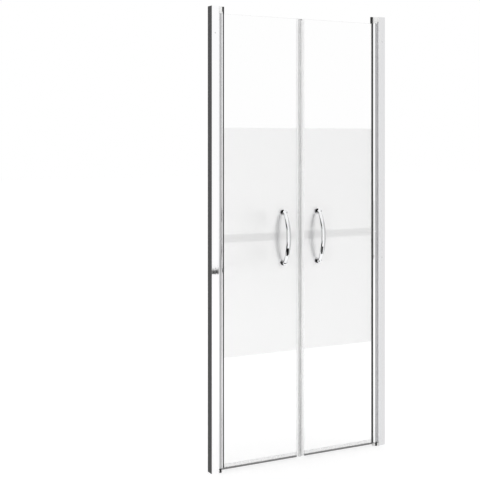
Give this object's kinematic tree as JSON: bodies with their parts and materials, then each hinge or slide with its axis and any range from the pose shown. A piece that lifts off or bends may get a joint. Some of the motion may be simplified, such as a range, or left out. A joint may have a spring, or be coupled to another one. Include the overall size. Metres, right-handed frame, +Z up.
{
  "type": "shower door",
  "caption": "Double swing shower door: glass leaves with a frosted middle and bow handles, hung on pivot profiles between wall channels, with magnet seals at the seam.",
  "frame": {"origin": "on the tray, half way between the two walls, in the plane of the glass", "axes": "+X along the door to the right wall, +Y into the shower, +Z up"},
  "size_m": [0.86, 0.114, 1.9],
  "materials": {
    "polished_aluminium": "polished, clear anodised extrusion",
    "steel_screw": "bright stainless steel",
    "steel_pin": "ground stainless steel",
    "grey_bearing": "light grey moulded plastic",
    "black_bearing": "black moulded plastic",
    "dark_gasket": "dark grey soft gasket",
    "clear_glass": "clear toughened safety glass",
    "frosted_layer": "satin layer",
    "grey_layer": "grey satin layer",
    "clear_seal": "clear soft PVC, slightly milky",
    "magnet": "white magnetic rubber",
    "grey_wiper": "grey soft PVC",
    "chrome_plate": "bright chrome plate",
    "clear_washer": "clear plastic"
  },
  "bodies": {
    "wall_frame": {"left_wall_profile": "polished_aluminium", "left_carrier_profile": "polished_aluminium", "left_lock_screws": "steel_screw", "left_top_bearing": "grey_bearing", "left_foot_bearing": "grey_bearing", "left_foot_plug": "black_bearing", "left_bearing_screws": "steel_screw", "left_top_pin": "steel_pin", "left_foot_pin": "steel_pin", "right_wall_profile": "polished_aluminium", "right_carrier_profile": "polished_aluminium", "right_lock_screws": "steel_screw", "right_top_bearing": "grey_bearing", "right_foot_bearing": "grey_bearing", "right_foot_plug": "black_bearing", "right_bearing_screws": "steel_screw", "right_top_pin": "steel_pin", "right_foot_pin": "steel_pin"},
    "left_leaf": {"left_pivot_profile": "polished_aluminium", "left_centre_screw": "steel_screw", "left_top_bush": "grey_bearing", "left_corner_block": "black_bearing", "left_foot_bush": "black_bearing", "left_glazing_gasket": "dark_gasket", "left_glass_pane": "clear_glass", "left_frosted_band": "frosted_layer", "left_middle_band": "grey_layer", "left_magnet_seal": "clear_seal", "left_magnet_strip": "magnet", "left_bottom_seal": "clear_seal", "left_bottom_wiper": "grey_wiper", "left_outer_handle": "chrome_plate", "left_inner_handle": "chrome_plate", "left_handle_studs": "steel_screw", "left_handle_washers": "clear_washer"},
    "right_leaf": {"right_pivot_profile": "polished_aluminium", "right_centre_screw": "steel_screw", "right_top_bush": "grey_bearing", "right_corner_block": "black_bearing", "right_foot_bush": "black_bearing", "right_glazing_gasket": "dark_gasket", "right_glass_pane": "clear_glass", "right_frosted_band": "frosted_layer", "right_middle_band": "grey_layer", "right_magnet_seal": "clear_seal", "right_magnet_strip": "magnet", "right_bottom_seal": "clear_seal", "right_bottom_wiper": "grey_wiper", "right_outer_handle": "chrome_plate", "right_inner_handle": "chrome_plate", "right_handle_studs": "steel_screw", "right_handle_washers": "clear_washer"}
  },
  "joints": [
    {"name": "left_leaf_swing", "type": "hinge", "parent": "wall_frame", "child": "left_leaf", "pos_m": [-0.387, 0, 0], "axis": [0, 0, 1], "range_deg": [-90, 90]},
    {"name": "right_leaf_swing", "type": "hinge", "parent": "wall_frame", "child": "right_leaf", "pos_m": [0.387, 0, 0], "axis": [0, 0, 1], "range_deg": [-90, 90]}
  ]
}
